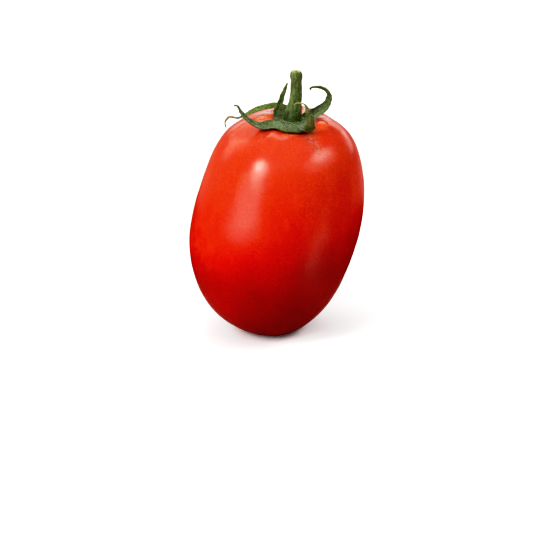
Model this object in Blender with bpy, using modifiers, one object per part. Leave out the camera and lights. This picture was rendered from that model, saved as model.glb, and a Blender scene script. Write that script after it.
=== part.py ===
"""A plum tomato as picked: the fruit, its calyx of five sepals and the cut stalk.

Metres, +Z up. The origin is the middle of the flat spot that the fruit rests on. -Y is the
side that faces the viewer, and +X is to the viewer's right.
"""

import math
from typing import NamedTuple

import bmesh
import bpy
import numpy as np
from mathutils import Quaternion, Vector
from mathutils.bvhtree import BVHTree

# Driving dimensions of the fruit
FRUIT_RADIUS = 0.0280
STAND_HEIGHT = 0.0395
TOP_RISE = 0.0352
BOTTOM_DROP = 0.0410
TOP_FULLNESS = 2.6
BOTTOM_FULLNESS = 2.15
EQUATOR_X = 0.0019

# How the fruit departs from an even barrel
AXIS_SLANT = 0.0064
AXIS_BEND = -0.0044
AXIS_REACH = 0.040
WAIST = 0.042
SHOULDER_LEAN = 0.08
LOBE_DEPTH = 0.007
CAVITY_DEPTH = 0.0040
CAVITY_RADIUS = 0.0080

# Swells and hollows of the shoulder: x, y, radius, height
SHOULDER_SWELLS = (
    (-0.0070, 0.0070, 0.0090, -0.0019),
    (0.0190, 0.0070, 0.0078, -0.0013),
    (0.0065, -0.0130, 0.0070, -0.0005),
)

# Facets round and along the fruit
FRUIT_ROUND = 56
FRUIT_ALONG = 40

# Driving dimensions of the calyx
STEM_X = 0.0067
HUB_THICKNESS = 0.0009
HUB_RADIUS = 0.0055
HUB_FLAP_REACH = 0.0064
HUB_FLAP_AZIMUTH = math.radians(-99.0)
HUB_FLAP_SPREAD = math.radians(54.0)
HUB_POINT_REACH = 0.0016
HUB_POINT_SPREAD = math.radians(17.0)
HUB_POINT_AZIMUTHS = (math.radians(15.0), math.radians(96.0), math.radians(154.0))
HUB_SEAT_RADIUS = 0.0040
HUB_SEAT_Z = 0.07215
HUB_ROUND = 36
HUB_RINGS = 14
HUB_SPACING_POWER = 0.85
HUB_EDGE_POWER = 0.45
SKIN_GAP = 0.00040
SEPAL_THICKNESS = 0.00075
SEPAL_MIN_WIDTH = 0.00065
SEPAL_CUP = 0.30
SEPAL_CUP_LEVEL = 0.3
SEPAL_ALONG = 22
SEPAL_ACROSS = 4
SHARP_ANGLE = math.radians(50.0)

# Driving dimensions of the stalk: height of a ring, its sideways place and its radius
STALK_RINGS = (
    (0.07255, 0.00675, 0.00305),
    (0.07320, 0.00677, 0.00294),
    (0.07400, 0.00683, 0.00277),
    (0.07520, 0.00698, 0.00246),
    (0.07650, 0.00720, 0.00216),
    (0.07800, 0.00742, 0.00195),
    (0.07980, 0.00765, 0.00183),
    (0.08180, 0.00778, 0.00174),
    (0.08360, 0.00782, 0.00167),
    (0.08500, 0.00780, 0.00170),
    (0.08605, 0.00778, 0.00188),
    (0.08700, 0.00775, 0.00197),
    (0.08790, 0.00772, 0.00185),
    (0.08850, 0.00770, 0.00155),
)
STALK_BEVEL_STEPS = 4


class Sepal(NamedTuple):
    """One sepal: the points and widths of its middle line, and its turn at root and tip."""

    name: str
    path: tuple
    widths: tuple
    root_turn: float
    tip_turn: float


SEPALS = (
    Sepal(
        "front_left",
        (
            (0.0036, -0.0030, 0.0720),
            (0.0010, -0.0060, 0.0727),
            (-0.0011, -0.0078, 0.0729),
            (-0.0036, -0.0088, 0.0731),
            (-0.0061, -0.0090, 0.0743),
            (-0.0079, -0.0092, 0.0759),
            (-0.0092, -0.0092, 0.0775),
            (-0.0100, -0.0090, 0.0789),
            (-0.0106, -0.0088, 0.0798),
            (-0.0112, -0.0086, 0.0800),
            (-0.0117, -0.0084, 0.0797),
        ),
        (0.0058, 0.0058, 0.0050, 0.0038, 0.0030, 0.0024, 0.0018, 0.0012, 0.0008, 0.0007, 0.0007),
        -10.0,
        -25.0,
    ),
    Sepal(
        "back_left",
        (
            (0.0061, 0.0046, 0.0720),
            (0.0052, 0.0060, 0.0730),
            (0.0040, 0.0069, 0.0739),
            (0.0017, 0.0068, 0.0749),
            (-0.0012, 0.0056, 0.0750),
            (-0.0037, 0.0046, 0.0746),
            (-0.0063, 0.0034, 0.0740),
            (-0.0085, 0.0024, 0.0731),
            (-0.0101, 0.0018, 0.0725),
            (-0.0113, 0.0014, 0.0725),
            (-0.0129, 0.0010, 0.0730),
            (-0.0139, 0.0008, 0.0727),
            (-0.0147, 0.0006, 0.0717),
            (-0.0148, 0.0004, 0.0706),
            (-0.0144, 0.0002, 0.0696),
        ),
        (
            0.0040, 0.0034, 0.0027, 0.0022, 0.0020, 0.0019, 0.0016, 0.0011,
            0.0008, 0.0007, 0.0007, 0.0007, 0.0007, 0.0007, 0.0007,
        ),
        -10.0,
        -20.0,
    ),
    Sepal(
        "back_upright",
        (
            (0.0026, 0.0022, 0.0719),
            (0.0022, 0.0030, 0.0728),
            (0.0022, 0.0038, 0.0740),
            (0.0025, 0.0044, 0.0755),
            (0.0030, 0.0049, 0.0773),
            (0.0036, 0.0052, 0.0793),
            (0.0043, 0.0054, 0.0810),
            (0.0050, 0.0055, 0.0828),
        ),
        (0.0040, 0.0042, 0.0036, 0.0024, 0.0019, 0.0016, 0.0012, 0.0007),
        0.0,
        0.0,
    ),
    Sepal(
        "right",
        (
            (0.0105, 0.0011, 0.0717),
            (0.0115, 0.0016, 0.0724),
            (0.0129, 0.0022, 0.0733),
            (0.0152, 0.0028, 0.0741),
            (0.0171, 0.0030, 0.0757),
            (0.0183, 0.0030, 0.0777),
            (0.0185, 0.0028, 0.0797),
            (0.0173, 0.0026, 0.0815),
            (0.0154, 0.0024, 0.0824),
            (0.0134, 0.0022, 0.0826),
            (0.0124, 0.0020, 0.0823),
            (0.0123, 0.0019, 0.0817),
        ),
        (
            0.0044, 0.0046, 0.0044, 0.0038, 0.0030, 0.0023,
            0.0019, 0.0016, 0.0013, 0.0009, 0.0007, 0.0007,
        ),
        12.0,
        40.0,
    ),
    Sepal(
        "front_right",
        (
            (0.0084, -0.0034, 0.0717),
            (0.0097, -0.0064, 0.0724),
            (0.0111, -0.0100, 0.0724),
            (0.0119, -0.0120, 0.0729),
            (0.0122, -0.0127, 0.0743),
            (0.0121, -0.0123, 0.0765),
            (0.0115, -0.0116, 0.0785),
            (0.0111, -0.0106, 0.0798),
            (0.0103, -0.0098, 0.0807),
            (0.0091, -0.0088, 0.0808),
            (0.0080, -0.0080, 0.0805),
            (0.0072, -0.0074, 0.0799),
        ),
        (
            0.0056, 0.0056, 0.0048, 0.0036, 0.0032, 0.0022,
            0.0015, 0.0011, 0.0008, 0.0007, 0.0007, 0.0007,
        ),
        0.0,
        0.0,
    ),
)


def clear_scene():
    """Remove every object that is already in the file."""
    for thing in list(bpy.data.objects):
        bpy.data.objects.remove(thing, do_unlink=True)


def new_collection(name):
    """A collection of that name under the scene's own."""
    collection = bpy.data.collections.new(name)
    bpy.context.scene.collection.children.link(collection)
    return collection


def new_material(name, colour, roughness):
    """A Principled material with one colour and roughness and no metal."""
    material = bpy.data.materials.new(name)
    material.use_nodes = True
    shader = material.node_tree.nodes["Principled BSDF"]
    shader.inputs["Base Color"].default_value = (*colour, 1.0)
    shader.inputs["Roughness"].default_value = roughness
    shader.inputs["Metallic"].default_value = 0.0
    return material


def object_from_bmesh(shape, name, collection, material):
    """A smooth-shaded mesh object that holds the shape."""
    mesh = bpy.data.meshes.new(name)
    shape.to_mesh(mesh)
    shape.free()
    mesh.materials.append(material)
    mesh.shade_smooth()
    thing = bpy.data.objects.new(name, mesh)
    collection.objects.link(thing)
    return thing


def bell(distance_squared, radius):
    """A smooth hump: 1 at its middle, fading over the radius."""
    return math.exp(-distance_squared / (radius * radius))


def fruit_point(polar, azimuth):
    """The skin's point at an angle down from the top and an angle round the axis."""
    is_top = math.cos(polar) > 0.0
    power = 2.0 / (TOP_FULLNESS if is_top else BOTTOM_FULLNESS)
    reach = TOP_RISE if is_top else -BOTTOM_DROP
    out = FRUIT_RADIUS * abs(math.sin(polar)) ** power
    rise = reach * abs(math.cos(polar)) ** power
    upper = max(0.0, rise / TOP_RISE)
    out *= 1.0 - WAIST * math.sin(math.pi * upper) ** 2
    out *= 1.0 + LOBE_DEPTH * (math.sin(3.0 * azimuth) - math.sin(5.0 * azimuth))
    step = rise / AXIS_REACH
    x = EQUATOR_X + AXIS_SLANT * step + AXIS_BEND * step**3 + out * math.cos(azimuth)
    y = out * math.sin(azimuth)
    z = STAND_HEIGHT + rise + SHOULDER_LEAN * y * upper**2
    z -= CAVITY_DEPTH * upper * bell((x - STEM_X) ** 2 + y**2, CAVITY_RADIUS)
    for swell_x, swell_y, radius, height in SHOULDER_SWELLS:
        z += height * upper * bell((x - swell_x) ** 2 + (y - swell_y) ** 2, radius)
    return Vector((x, y, z))


def fruit_shape():
    """The fruit's closed skin, cut flat where it rests."""
    shape = bmesh.new()
    bmesh.ops.create_uvsphere(
        shape, u_segments=FRUIT_ROUND, v_segments=FRUIT_ALONG, radius=1.0
    )
    for vertex in shape.verts:
        polar = math.acos(max(-1.0, min(1.0, vertex.co.z)))
        vertex.co = fruit_point(polar, math.atan2(vertex.co.y, vertex.co.x))
    everything = shape.verts[:] + shape.edges[:] + shape.faces[:]
    cut = bmesh.ops.bisect_plane(
        shape, geom=everything, plane_co=(0, 0, 0), plane_no=(0, 0, 1), clear_inner=True
    )
    rim = [item for item in cut["geom_cut"] if isinstance(item, bmesh.types.BMEdge)]
    bmesh.ops.contextual_create(shape, geom=rim)
    bmesh.ops.recalc_face_normals(shape, faces=shape.faces[:])
    return shape


def skin_height(skin, x, y):
    """Height of the fruit's top side at a place."""
    hit = skin.ray_cast(Vector((x, y, 1.0)), Vector((0.0, 0.0, -1.0)))
    return hit[0].z if hit[0] is not None else 0.0


def turn_between(azimuth, other):
    """The angle from one azimuth to another, the short way round."""
    return math.remainder(azimuth - other, 2.0 * math.pi)


def hub_radius(azimuth):
    """Radius of the calyx's hub: a point at each back sepal, and one flap for the front two."""
    away = turn_between(azimuth, HUB_FLAP_AZIMUTH) / HUB_FLAP_SPREAD
    radius = HUB_RADIUS + HUB_FLAP_REACH * math.exp(-(away**4))
    for point_azimuth in HUB_POINT_AZIMUTHS:
        away = turn_between(azimuth, point_azimuth) / HUB_POINT_SPREAD
        radius += HUB_POINT_REACH * math.exp(-(away**2))
    return radius


def hub_shape(skin):
    """The plate that the sepals grow from. It follows the skin and is level under the stalk."""
    shape = bmesh.new()
    bmesh.ops.create_uvsphere(
        shape, u_segments=HUB_ROUND, v_segments=HUB_RINGS, radius=1.0
    )
    for vertex in shape.verts:
        azimuth = math.atan2(vertex.co.y, vertex.co.x)
        share = min(1.0, math.hypot(vertex.co.x, vertex.co.y))
        radius = hub_radius(azimuth) * share**HUB_SPACING_POWER
        x = STEM_X + radius * math.cos(azimuth)
        y = radius * math.sin(azimuth)
        low = skin_height(skin, x, y) + SKIN_GAP
        high = low + HUB_THICKNESS
        if radius < HUB_SEAT_RADIUS:
            high = HUB_SEAT_Z
        side = math.copysign(abs(vertex.co.z) ** HUB_EDGE_POWER, vertex.co.z)
        middle = 0.5 * (low + high)
        vertex.co = (x, y, middle + 0.5 * (high - low) * side)
    bmesh.ops.recalc_face_normals(shape, faces=shape.faces[:])
    return shape


def smooth_values(values, share):
    """The value at a share of the way along a smooth curve through the given ones."""
    knots = np.asarray(values, float)
    last = len(knots) - 1
    place = min(max(share, 0.0), 1.0) * last
    i = min(int(place), last - 1)
    t = place - i
    before = knots[max(i - 1, 0)]
    after = knots[min(i + 2, last)]
    a, b = knots[i], knots[i + 1]
    leave = 0.5 * (b - before)
    arrive = 0.5 * (after - a)
    return (
        (2.0 * t**3 - 3.0 * t**2 + 1.0) * a
        + (t**3 - 2.0 * t**2 + t) * leave
        + (3.0 * t**2 - 2.0 * t**3) * b
        + (t**3 - t**2) * arrive
    )


def sepal_frames(sepal, count):
    """Middle points, sideways directions, face directions and widths along a sepal."""
    shares = [i / count for i in range(count + 1)]
    points = [Vector(smooth_values(sepal.path, share)) for share in shares]
    face = Vector((0.0, 0.0, 1.0))
    frames = []
    for i, (share, point) in enumerate(zip(shares, points)):
        along = (points[min(i + 1, count)] - points[max(i - 1, 0)]).normalized()
        face = (face - face.dot(along) * along).normalized()
        turn = math.radians(sepal.root_turn + (sepal.tip_turn - sepal.root_turn) * share)
        facing = Quaternion(along, turn) @ face
        width = max(SEPAL_MIN_WIDTH, float(smooth_values(sepal.widths, share)))
        frames.append((point, along.cross(facing), facing, width))
    return frames


def sepal_shape(sepal, skin):
    """A channelled blade along the sepal's path, clear of the skin and solid all through."""
    frames = sepal_frames(sepal, SEPAL_ALONG)
    shape = bmesh.new()
    bmesh.ops.create_grid(
        shape, x_segments=SEPAL_ALONG, y_segments=SEPAL_ACROSS, size=1.0
    )
    clear = SKIN_GAP + 0.5 * SEPAL_THICKNESS
    for vertex in shape.verts:
        point, sideways, facing, width = frames[round((vertex.co.x + 1.0) / 2.0 * SEPAL_ALONG)]
        across = vertex.co.y
        lift = SEPAL_CUP * 0.5 * width * (across**2 - SEPAL_CUP_LEVEL)
        place = point + sideways * (0.5 * width * across) + facing * lift
        lowest = skin_height(skin, place.x, place.y) + clear
        place.z = max(place.z, lowest)
        vertex.co = place
    bmesh.ops.recalc_face_normals(shape, faces=shape.faces[:])
    return shape


def add_solidify(thing):
    """Give the blade its thickness, half to each side."""
    solid = thing.modifiers.new("Thickness", "SOLIDIFY")
    solid.thickness = SEPAL_THICKNESS
    solid.offset = 0.0
    solid.use_even_offset = True


def keep_outer_shell(mesh):
    """Drop the small shells of any hollow that joining has sealed, which fills it."""
    shape = bmesh.new()
    shape.from_mesh(mesh)
    unseen = set(shape.faces)
    shells = []
    while unseen:
        shell = {unseen.pop()}
        search = list(shell)
        while search:
            face = search.pop()
            near = {other for edge in face.edges for other in edge.link_faces} & unseen
            unseen -= near
            shell |= near
            search.extend(near)
        shells.append(shell)
    outer = max(shells, key=len)
    inner = [face for shell in shells if shell is not outer for face in shell]
    bmesh.ops.delete(shape, geom=inner, context="FACES")
    shape.to_mesh(mesh)
    shape.free()


def make_calyx(skin, collection, material):
    """The hub with its five sepals, joined in one body."""
    blades = new_collection("calyx_blades")
    for sepal in SEPALS:
        blade = object_from_bmesh(sepal_shape(sepal, skin), sepal.name, blades, material)
        add_solidify(blade)
    hub = object_from_bmesh(hub_shape(skin), "hub", blades, material)
    calyx = bpy.data.objects.new("calyx", hub.data.copy())
    collection.objects.link(calyx)
    blades.objects.unlink(hub)
    union = calyx.modifiers.new("Join", "BOOLEAN")
    union.operation = "UNION"
    union.operand_type = "COLLECTION"
    union.collection = blades
    union.solver = "EXACT"
    depsgraph = bpy.context.evaluated_depsgraph_get()
    joined = bpy.data.meshes.new_from_object(calyx.evaluated_get(depsgraph))
    keep_outer_shell(joined)
    calyx.modifiers.clear()
    calyx.data = joined
    for thing in list(blades.objects) + [hub]:
        bpy.data.objects.remove(thing, do_unlink=True)
    bpy.data.collections.remove(blades)
    joined.shade_smooth()
    joined.set_sharp_from_angle(angle=SHARP_ANGLE)
    return calyx


def make_stalk(collection, material):
    """The stalk: a round stem that flares at its foot and swells into a knuckle at its cut end."""
    curve = bpy.data.curves.new("stalk", "CURVE")
    curve.dimensions = "3D"
    curve.bevel_depth = 1.0
    curve.bevel_resolution = STALK_BEVEL_STEPS
    curve.use_fill_caps = True
    spline = curve.splines.new("POLY")
    spline.points.add(len(STALK_RINGS) - 1)
    for point, (height, sideways, radius) in zip(spline.points, STALK_RINGS):
        point.co = (sideways, 0.0, height, 1.0)
        point.radius = radius
    curve.materials.append(material)
    stalk = bpy.data.objects.new("stalk", curve)
    collection.objects.link(stalk)
    return stalk


def main():
    """Build the tomato's three pieces."""
    clear_scene()
    tomato = new_collection("tomato")
    skin_red = new_material("skin_red", (0.62, 0.018, 0.006), 0.22)
    sepal_green = new_material("sepal_green", (0.075, 0.135, 0.030), 0.6)
    stalk_green = new_material("stalk_green", (0.060, 0.120, 0.025), 0.5)
    shape = fruit_shape()
    skin = BVHTree.FromBMesh(shape)
    object_from_bmesh(shape, "fruit", tomato, skin_red)
    make_calyx(skin, tomato, sepal_green)
    make_stalk(tomato, stalk_green)


main()
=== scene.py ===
"""The looks of one plum tomato: its skin, its downy calyx, its cut stalk and a plain studio.

Metres, +Z up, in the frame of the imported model. The camera looks along +Y from above the floor,
and +X is to its right.
"""

import logging
import math
from dataclasses import dataclass
from enum import Enum
from functools import cached_property
from typing import Any, Iterable, Mapping

import bpy
import numpy as np
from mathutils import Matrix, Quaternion, Vector
from mathutils.bvhtree import BVHTree
from mathutils.kdtree import KDTree


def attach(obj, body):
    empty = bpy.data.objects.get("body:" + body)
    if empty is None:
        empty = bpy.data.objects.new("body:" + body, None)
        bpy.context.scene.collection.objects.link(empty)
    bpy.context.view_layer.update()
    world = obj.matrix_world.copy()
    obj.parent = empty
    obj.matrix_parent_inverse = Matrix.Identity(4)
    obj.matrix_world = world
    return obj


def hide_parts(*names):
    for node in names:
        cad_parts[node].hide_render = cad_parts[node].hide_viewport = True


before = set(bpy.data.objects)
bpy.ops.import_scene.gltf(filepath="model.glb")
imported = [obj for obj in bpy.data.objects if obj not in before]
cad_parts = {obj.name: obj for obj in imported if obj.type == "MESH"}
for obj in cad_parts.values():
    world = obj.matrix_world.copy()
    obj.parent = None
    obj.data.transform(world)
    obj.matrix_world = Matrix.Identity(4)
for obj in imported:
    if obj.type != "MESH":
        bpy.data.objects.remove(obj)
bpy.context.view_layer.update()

LOG = logging.getLogger("tomato")
BODY = "root"
MM = 0.001
TURN = 2.0 * math.pi
STEM_X = 0.0067

Colour = tuple[float, float, float]
Point = tuple[float, float, float]
Spot = tuple[float, float]

BLACK: Colour = (0.0, 0.0, 0.0)
WHITE: Colour = (1.0, 1.0, 1.0)


class Slot(Enum):
    """The record's finishes that the pieces take."""

    SKIN = "skin"
    SEPAL = "sepal"
    STALK = "stalk"


# Shader maths


class Link:
    """An output of a node, on which shader maths reads as plain Python."""

    def __init__(self, board: "Board", socket: bpy.types.NodeSocket) -> None:
        """Keep the socket and the board that it is on."""
        self.board = board
        self.socket = socket

    def maths(self, operation: str, *values: "float | Link") -> "Link":
        """One Math node with that operation on the values."""
        return self.board.node("ShaderNodeMath", {"operation": operation}, dict(enumerate(values)))

    def __add__(self, other: "float | Link") -> "Link":
        """Sum."""
        return self.maths("ADD", self, other)

    __radd__ = __add__

    def __sub__(self, other: "float | Link") -> "Link":
        """Difference."""
        return self.maths("SUBTRACT", self, other)

    def __rsub__(self, other: "float | Link") -> "Link":
        """Difference, with this value taken away."""
        return self.maths("SUBTRACT", other, self)

    def __mul__(self, other: "float | Link") -> "Link":
        """Product."""
        return self.maths("MULTIPLY", self, other)

    __rmul__ = __mul__

    def most(self, other: "float | Link") -> "Link":
        """The larger of the two."""
        return self.maths("MAXIMUM", self, other)

    def step(self, low: float, high: float, start: float = 0.0, end: float = 1.0) -> "Link":
        """A soft step of the value: start up to low, end from high on.

        Args:
            low: the value where the step begins, which may be above high for a falling step.
            high: the value where the step is over.
            start: what comes out before the step.
            end: what comes out after it.

        Returns:
            The stepped value.
        """
        if low > high:
            low, high, start, end = high, low, end, start
        settings = {"interpolation_type": "SMOOTHSTEP"}
        inputs = {0: self, 1: low, 2: high, 3: start, 4: end}
        return self.board.node("ShaderNodeMapRange", settings, inputs)

    def hump(self, middle: float, reach: float) -> "Link":
        """A soft hump of the value: 1 at the middle and 0 from the reach on."""
        return self.maths("ABSOLUTE", self - middle).step(reach, 0.0)


class Board:
    """The node tree of one material, with one method that makes its nodes."""

    def __init__(self, name: str) -> None:
        """Start an empty tree in a new material.

        Args:
            name: the material's name.
        """
        self.material = bpy.data.materials.new(name)
        self.material.use_nodes = True
        self.tree = self.material.node_tree
        self.tree.nodes.clear()

    def node(
        self,
        kind: str,
        settings: Mapping[str, Any] | None = None,
        inputs: Mapping[int | str, Any] | None = None,
        output: int | str = 0,
    ) -> Link:
        """Make a node.

        Args:
            kind: the node's type.
            settings: its own settings, which are set first.
            inputs: a value or a link for each socket, by name or number.
            output: the output that is wanted, by name or number.

        Returns:
            The link from that output.
        """
        made = self.tree.nodes.new(kind)
        for name, value in (settings or {}).items():
            setattr(made, name, value)
        for key, value in (inputs or {}).items():
            if isinstance(value, Link):
                self.tree.links.new(value.socket, made.inputs[key])
            else:
                made.inputs[key].default_value = value
        return Link(self, made.outputs[output])

    @cached_property
    def here(self) -> Link:
        """The place on the object, in metres."""
        return self.node("ShaderNodeTexCoord", output="Object")

    def axis(self, name: str) -> Link:
        """One of X, Y and Z of the place."""
        return self.node("ShaderNodeSeparateXYZ", None, {0: self.here}, name)

    def stretched(self, *factors: float) -> Link:
        """The place with each axis multiplied by its factor."""
        inputs = {0: self.here, 1: factors}
        return self.node("ShaderNodeVectorMath", {"operation": "MULTIPLY"}, inputs)

    def away(self, place: Link, point: Point) -> Link:
        """The distance of a place from a point."""
        inputs = {0: place, 1: point}
        return self.node("ShaderNodeVectorMath", {"operation": "DISTANCE"}, inputs, "Value")

    def off_axis(self, x: float = 0.0) -> Link:
        """The distance from an upright line at that X."""
        return self.away(self.stretched(1.0, 1.0, 0.0), (x, 0.0, 0.0))

    def noise(
        self, size: float, detail: float = 3.0, roughness: float = 0.6, place: Link | None = None
    ) -> Link:
        """Cloudy noise of about that many metres, here or at the place that is given."""
        inputs = {"Scale": 1.0 / size, "Detail": detail, "Roughness": roughness}
        return self.node("ShaderNodeTexNoise", None, {"Vector": place or self.here, **inputs})

    def cells(self, size: float, feature: str = "F1") -> Link:
        """Cells of about that many metres: the distance from the middle, or from the edge."""
        inputs = {"Vector": self.here, "Scale": 1.0 / size}
        return self.node("ShaderNodeTexVoronoi", {"feature": feature}, inputs)

    def map(self, name: str) -> Link:
        """A value that the mesh holds at each of its points."""
        return self.node("ShaderNodeAttribute", {"attribute_name": name}, output="Fac")

    def layers(self, colour: Any, *layers: tuple[float | Link, Any]) -> Link:
        """Mix colours over one another.

        Args:
            colour: the lowest colour, or a link.
            layers: for each colour over it, its share and the colour or a link.

        Returns:
            The mixed colour.
        """
        settings = {"data_type": "RGBA", "clamp_factor": True}
        for share, over in layers:
            under, over = (c if isinstance(c, Link) else (*c, 1.0) for c in (colour, over))
            colour = self.node("ShaderNodeMix", settings, {0: share, 6: under, 7: over}, 2)
        return colour

    def bump(self, height: Link, depth: float, strength: float) -> Link:
        """The normal of a surface whose height runs from 0 to that depth in metres."""
        inputs = {"Strength": strength, "Distance": depth, "Height": height}
        return self.node("ShaderNodeBump", None, inputs)

    def shader(self, inputs: Mapping[str, Any]) -> Link:
        """A Principled shader with a value or a link for each socket that is set."""
        return self.node("ShaderNodeBsdfPrincipled", None, inputs)

    def finish(self, shader: Link) -> bpy.types.Material:
        """Lead the shader to the material's output.

        Args:
            shader: the link from the shader.

        Returns:
            The finished material.
        """
        end = self.tree.nodes.new("ShaderNodeOutputMaterial")
        self.tree.links.new(shader.socket, end.inputs["Surface"])
        return self.material


# Finishes


@dataclass(frozen=True)
class SkinFinish:
    """Ripe skin: glossy, orange-red to deep red, flecked, corky round the stalk and at the base,
    with painted shade low down and to the right.
    """

    deep: Colour = (0.235, 0.0034, 0.0030)
    red: Colour = (0.40, 0.0165, 0.0048)
    bright: Colour = (0.45, 0.060, 0.023)
    orange: Colour = (0.68, 0.125, 0.010)
    fleck: Colour = (0.95, 0.36, 0.08)
    cork: Colour = (0.62, 0.34, 0.14)
    scuff: Colour = (0.33, 0.23, 0.18)
    scar: Colour = (0.52, 0.37, 0.17)
    crack: Colour = (0.06, 0.025, 0.010)
    crease_mark_and_shade: Colour = (0.30, 0.030, 0.008)
    painted_reflection_pink: Colour = (0.34, 0.17, 0.15)
    ripe_and_shade_z: Spot = (0.016, 0.066)
    ripe_and_shade_x: Spot = (0.026, -0.018)
    cloud_size: float = 0.020
    streak_size: float = 0.0040
    mottle_size: float = 0.0007
    patch_size: float = 0.0060
    fleck_size: float = 0.0013
    speck_size: float = 0.00062
    grain_size: float = 0.0009
    wax_size: float = 0.0080
    dimple_size: float = 0.0006
    swell_size: float = 0.0024
    relief: float = 0.00002
    coat_z: Spot = (0.022, 0.052)
    shoulder_z: Spot = (0.060, 0.064)
    cork_size: float = 0.0010
    scuff_size: float = 0.0008
    scar_z: Spot = (0.004, 0.002)
    scar_radius: float = 0.0019
    star_radius: float = 0.0062
    crack_size: float = 1.0 / 1400.0

    def material(self) -> bpy.types.Material:
        """Build the skin's material.

        Returns:
            The material.
        """
        board = Board("ripe_skin")
        colour = self.flecks(board, self.ripeness_and_painted_shade(board))
        colour, cork, behind = self.crown(board, colour)
        colour, scar = self.blossom_end(board, colour)
        crease_mark_and_shade = board.map("crease_mark_and_shade")
        grain = board.noise(self.grain_size)
        wax = board.noise(self.wax_size).step(0.35, 0.70)
        rough = 0.18 + 0.05 * wax + 0.05 * grain + 0.30 * cork + 0.40 * scar + 0.45 * crease_mark_and_shade
        coat = 0.06 + 0.30 * board.axis("Z").step(*self.coat_z) + 0.8 * behind
        height = (1.0 + 3.0 * cork + 4.0 * scar) * grain
        height = height + 0.6 * board.noise(self.swell_size, 2.0, 0.5)
        height = height + 1.4 * board.noise(self.dimple_size, 2.0, 0.5)
        return board.finish(
            board.shader(
                {
                    "Base Color": colour,
                    "Roughness": rough,
                    "Normal": board.bump(height, self.relief, 0.75),
                    "Specular IOR Level": 0.16,
                    "Subsurface Weight": 0.12,
                    "Subsurface Radius": (1.0, 0.12, 0.05),
                    "Subsurface Scale": 0.0022,
                    "Coat Weight": coat * (1.0 - crease_mark_and_shade),
                    "Coat Roughness": 0.22,
                    "Coat IOR": 1.4,
                }
            )
        )

    def ripeness_and_painted_shade(self, board: Board) -> Link:
        """The red itself: brighter high up and to the left, deeper low down and to the right,
        partly the fruit's own ripening and partly painted shade.

        Args:
            board: the material's board.

        Returns:
            The colour.
        """
        # Painted shade: the red deepens low down and to the right, partly the fruit's own ripening
        # and partly shade painted into the colour.
        high = board.axis("Z").step(*self.ripe_and_shade_z)
        left = board.axis("X").step(*self.ripe_and_shade_x)
        cloud = board.noise(self.cloud_size, 2.0, 0.5).step(0.30, 0.70)
        ripe_and_shade = 0.66 * high + 0.12 * left + 0.04 + 0.13 * cloud
        streaks = board.noise(self.streak_size, place=board.stretched(1.0, 1.0, 0.30))
        warm = board.axis("Z").hump(0.035, 0.014) * board.axis("X").step(-0.012, -0.024)
        warm = warm * board.noise(self.streak_size).step(0.20, 0.80)
        colour = board.layers(
            self.deep,
            (ripe_and_shade.step(0.0, 0.55), self.red),
            (ripe_and_shade.step(0.35, 0.95), self.bright),
            (0.16 * streaks.step(0.45, 0.75) * high, self.orange),
            (0.32 * warm, self.orange),
        )
        mottle = 0.66 + 0.68 * board.noise(self.mottle_size, 3.0, 0.65)
        inputs = {0: colour, "Scale": mottle}
        return board.node("ShaderNodeVectorMath", {"operation": "SCALE"}, inputs)

    def flecks(self, board: Board, colour: Link) -> Link:
        """Fine pale flecks under the skin, most of them high up.

        Args:
            board: the material's board.
            colour: the colour so far.

        Returns:
            The colour with the flecks.
        """
        share = board.axis("Z").step(0.015, 0.065, 0.55, 1.0)
        share = share * board.noise(self.patch_size, 2.0, 0.5).step(0.38, 0.62, 0.25, 1.0)
        dots = board.cells(self.fleck_size).step(0.24, 0.08)
        specks = board.cells(self.speck_size).step(0.36, 0.12)
        return board.layers(
            colour, (0.08 * dots * share, self.fleck), (0.11 * specks * share, self.fleck)
        )

    def crown(self, board: Board, colour: Link) -> tuple[Link, Link, Link]:
        """The shoulder round the stalk: orange in the hollow, corky close in, grey where scuffed,
        and tinted pink on the far side as a painted reflection.

        Args:
            board: the material's board.
            colour: the colour so far.

        Returns:
            The colour with the crown, how corky each place is, and where the far side is.
        """
        top = board.axis("Z").step(*self.shoulder_z)
        ragged = board.off_axis(STEM_X) + 0.0040 * (board.noise(0.0022) - 0.5)
        behind = ragged.step(0.0150, 0.0110) * top * board.axis("Y").step(0.001, 0.005)
        lines = board.noise(self.cork_size, 3.0, 0.7).step(0.46, 0.62)
        left = board.axis("X").step(0.012, 0.005, 0.30, 1.0)
        cork = ragged.step(0.0128, 0.0105) * lines * top * left
        sores = board.map("sore") * board.noise(self.dimple_size, 3.0, 0.7).step(0.44, 0.56)
        scuff = board.map("scuff") * board.noise(self.scuff_size, 3.0, 0.7).step(0.36, 0.66)
        colour = board.layers(
            colour,
            (0.20 * ragged.step(0.0145, 0.0085) * top, self.orange),
            # Painted reflection: the crown's far side is tinted pink as if it reflected the bright
            # room.
            (0.50 * behind, self.painted_reflection_pink),
            (0.34 * cork, self.cork),
            (0.60 * board.map("crease"), self.orange),
            (0.70 * sores, self.cork),
            # The hook's dark line is partly a mark and partly painted shade in its crease.
            (0.85 * board.map("crease_mark_and_shade"), self.crease_mark_and_shade),
            (0.78 * scuff, self.scuff),
        )
        return colour, 0.4 * cork + 0.6 * scuff, behind

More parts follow.
